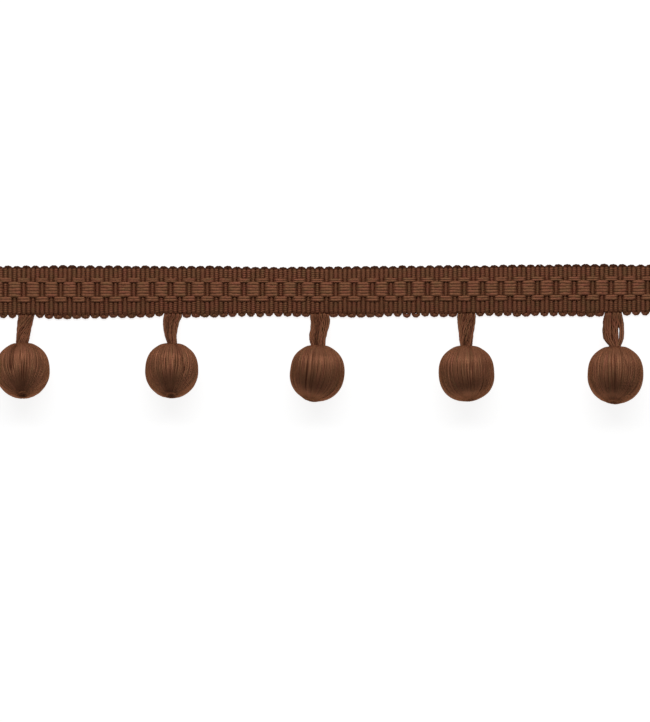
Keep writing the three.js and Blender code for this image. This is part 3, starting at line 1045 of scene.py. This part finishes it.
def skein_guide(index, bead_sizes):
    """The middle of a skein: smooth curves through points that lead from under the four short ribs
    to the bead's neck hole and down into it. The width and the depth of the skein's oval section,
    and how much of its twist is behind it, follow the same curves.
    Returns the points, the widths, the depths and the shares of the twist."""
    bead = BEADS[index]
    skein = SKEINS[index]
    heading = millimetres(bpy.context.scene.trim_heading)
    _, start = heading_counts(heading)
    middle_x = start + (index + 0.5) * RIBS_PER_BEAD * heading.rib_pitch
    begin_y = edge_at(middle_x, "bottom") + SKEIN_SHAPE.inside_edge
    rib_end = np.array([middle_x, begin_y, heading.plain_level - SKEIN_SHAPE.below_ribs])
    _, middle_z = bead_surface(index, bead_sizes, BEAD_SHAPE.rough_around)
    outside = bead["along"] + SKEIN_SHAPE.above_bead
    inside = bead["along"] - bead_sizes.neck_hole_depth - SKEIN_SHAPE.below_dimple
    neck = settle(np.array([[0, outside, 0], [0, inside, 0]]), bead["neck_tip"], bead["neck_lean"])
    neck = neck + (bead["x"], bead["y"], middle_z)
    lead = neck[0] - rib_end
    # Each row holds a point, the width and the depth there, and the share of the twist behind it
    rows = (
        (rib_end + (0, 2.4, 0), 5.6, 0.9, 0),
        (rib_end + (0, 1.2, 0), 5.6, 0.9, 0),
        (rib_end, 5.6, 0.9, 0),
        (rib_end + lead * (0, 0.12, 0.05), skein["root"], 1.2, 0.05),
        (rib_end + lead * 0.36 + (skein["aside_upper"], 0, 0), skein["upper"], 1.7, 0.35),
        (rib_end + lead * 0.74 + (skein["aside_lower"], 0, 0), skein["lower"], 2.0, 0.8),
        (neck[0], skein["neck"], 2.2, 1),
        (neck[1], 2.6, 2.2, 1),
        (2 * neck[1] - neck[0], 2.0, 2.0, 1),
    )
    controls = np.array([(*point, *section) for point, *section in rows])
    guide = catmull_rom(controls, THREAD.steps)
    return guide[:, :3], *guide[:, 3:].T


def skein_threads(index, sizes, bead_sizes):
    """The threads of one skein. A few thick, flat ones lie side by side at its back and close it.
    The others fill its oval section evenly: thread i lies at the root of its share of the radius
    and at i golden angles, and they turn slowly round the middle from the heading to the bead.
    A slit pushes the threads aside from a line near the right of the section, by a bell curve
    across the skein and a smooth window along it."""
    skein = SKEINS[index]
    middle, width, depth, turned = skein_guide(index, bead_sizes)
    count = sizes.threads
    number = np.arange(count)
    radius = np.sqrt((number + 0.5) / count)[:, None]
    angle = number[:, None] * GOLDEN_ANGLE + FULL_TURN * skein["twist"] * turned
    turn = drift(turned, draws("skein_angle", index), SKEIN_SHAPE.turn_pitch, count)
    angle = angle + SKEIN_SHAPE.turn * turn
    across = radius * np.cos(angle)
    lift = radius * np.sin(angle)
    back = number < sizes.back_threads
    across[back] = np.linspace(-1, 1, sizes.back_threads)[:, None]
    lift[back] = -SKEIN_SHAPE.back_depth * np.sqrt(SKEIN_SHAPE.back_arch - across[back] ** 2)
    across = across * (width - sizes.thread_width) / 2
    lift = lift * (depth - sizes.thread_width) / 2
    free = skein["loose"] * between(turned, *SKEIN_SHAPE.free, SKEIN_SHAPE.free_soft)
    across = across + free * drift(turned, draws("skein_aside", index), SKEIN_SHAPE.free_pitch, count)
    aside = across - SKEIN_SHAPE.slit_place * width
    slit = skein["slit"] * between(turned, *SKEIN_SHAPE.slit, SKEIN_SHAPE.slit_soft)
    slit = slit * bell(aside, SKEIN_SHAPE.slit_spread)
    across = across + np.where(aside.mean(1, keepdims=True) < 0, -slit, slit)
    paths = middle + np.stack([across, np.zeros_like(across), lift], -1)
    back_spacing = (width - sizes.thread_width) / (sizes.back_threads - 1)
    back_height = SKEIN_SHAPE.back_height * sizes.thread_width
    back_width = np.maximum(back_height, SKEIN_SHAPE.back_overlap * back_spacing)
    # Painted shadow: the threads darken as they near the bead's neck
    near_bead = 1 - THREAD.near_bead * ease(turned, *THREAD.darkening)
    rng = draws("skein", index)
    threads = []
    for path, order in zip(paths, number):
        def plies(along, turn, phase=order * THREAD.next_phase):
            twist = FULL_TURN * (2 * turn + along / sizes.twist_pitch)
            return THREAD.ply_relief * np.cos(twist + phase)

        section = (back_width, back_height) if back[order] else (sizes.thread_width, sizes.thread_width)
        points, along = sweep(path, *section, THREAD.around, plies)
        tone = rng.choice(THREAD.tones) * near_bead[:, None]
        threads.append(tube(points, along + THREAD.next_yarn * order, tone, rng.uniform()))
    return threads


class TRIM_OT_skeins(Operator):
    """Adds the skeins of thread that run from the heading's lower edge into the beads' necks"""

    bl_idname = "trim.skeins"
    bl_label = "Skeins"

    def execute(self, context):
        sizes = millimetres(context.scene.trim_skeins)
        bead_sizes = millimetres(context.scene.trim_beads)
        yarn = yarn_material(
            "skein_yarn", context.scene.trim_colours, ridge_pitch=1.1, ridge_count=1,
            ridge_depth=0.10, drift_length=7.0, roughness=0.66)
        for index in range(len(BEADS)):
            piece = build_mesh(f"skein_{index + 1}", skein_threads(index, sizes, bead_sizes))
            fit_piece(piece, yarn, "hanger_yarn", f"hanger_{index + 1}")
        return {"FINISHED"}


# The stage

def area_light(name, place, size, power):
    """A flat lamp at a place, turned towards the aim. Its size is along X and across that."""
    data = bpy.data.lights.new(name, "AREA")
    data.shape = "RECTANGLE"
    data.size, data.size_y = size
    data.energy = power
    lamp = add_object(name, data)
    lamp.location = place
    lamp.rotation_euler = (Vector(AIM) - Vector(place)).to_track_quat("-Z", "Y").to_euler()


class TRIM_OT_stage(Operator):
    """Adds the pale floor, the lamps and the camera straight above the trim"""

    bl_idname = "trim.stage"
    bl_label = "Floor, lamps and camera"

    def execute(self, context):
        settings = context.scene.trim_stage
        mesh = bpy.data.meshes.new("floor")
        signs = ((-1, -1), (1, -1), (1, 1), (-1, 1))
        mesh.from_pydata([(x * FLOOR_HALF, y * FLOOR_HALF, 0) for x, y in signs], [], [(0, 1, 2, 3)])
        mesh.materials.append(floor_material())
        add_object("floor", mesh)
        area_light("key_lamp", place=(0.0, 0.80, 0.97), size=(1.6, 0.4), power=settings.key_power)
        area_light("fill_lamp", place=(0.0, 0.0, 1.70), size=(1.2, 1.2), power=settings.fill_power)
        world = bpy.data.worlds.new("room")
        context.scene.world = world
        world.use_nodes = True
        background = world.node_tree.nodes["Background"]
        background.inputs["Color"].default_value = opaque((1.0, 1.0, 1.0))
        background.inputs["Strength"].default_value = settings.room
        context.scene.view_settings.view_transform = "Standard"
        camera = bpy.data.cameras.new("camera")
        camera.lens = settings.lens
        camera.sensor_width = 36.0
        viewer = add_object("camera", camera)
        viewer.location = (*CAMERA_PLACE, settings.camera_height)
        context.scene.camera = viewer
        return {"FINISHED"}


class TRIM_PT_panel(Panel):
    """Lists the sizes and the steps in the order in which they are made"""

    bl_idname = "TRIM_PT_panel"
    bl_label = "Beaded fringe trim"
    bl_space_type = "VIEW_3D"
    bl_region_type = "UI"
    bl_category = "Trim"

    def draw(self, context):
        for group in GROUPS:
            box = self.layout.box()
            settings = getattr(context.scene, group)
            for prop in own_properties(settings):
                box.prop(settings, prop.identifier)
        for step in STEPS:
            self.layout.operator(step.bl_idname)


GROUPS = {
    "trim_heading": HeadingSizes,
    "trim_skeins": SkeinSizes,
    "trim_beads": BeadSizes,
    "trim_colours": YarnColours,
    "trim_stage": StageSizes,
}
STEPS = (
    TRIM_OT_stage,
    TRIM_OT_ground_cloth,
    TRIM_OT_gimp_cord,
    TRIM_OT_warp_threads,
    TRIM_OT_skeins,
    TRIM_OT_beads,
)


def register():
    for item in (*GROUPS.values(), *STEPS, TRIM_PT_panel):
        bpy.utils.register_class(item)
    for name, group in GROUPS.items():
        setattr(bpy.types.Scene, name, PointerProperty(type=group))


def unregister():
    for name in GROUPS:
        delattr(bpy.types.Scene, name)
    for item in (TRIM_PT_panel, *reversed(STEPS), *reversed(GROUPS.values())):
        bpy.utils.unregister_class(item)


def main():
    register()
    bpy.ops.trim.stage()
    bpy.ops.trim.ground_cloth()
    bpy.ops.trim.gimp_cord()
    bpy.ops.trim.warp_threads()
    bpy.ops.trim.skeins()
    bpy.ops.trim.beads()


if __name__ == "__main__":
    main()
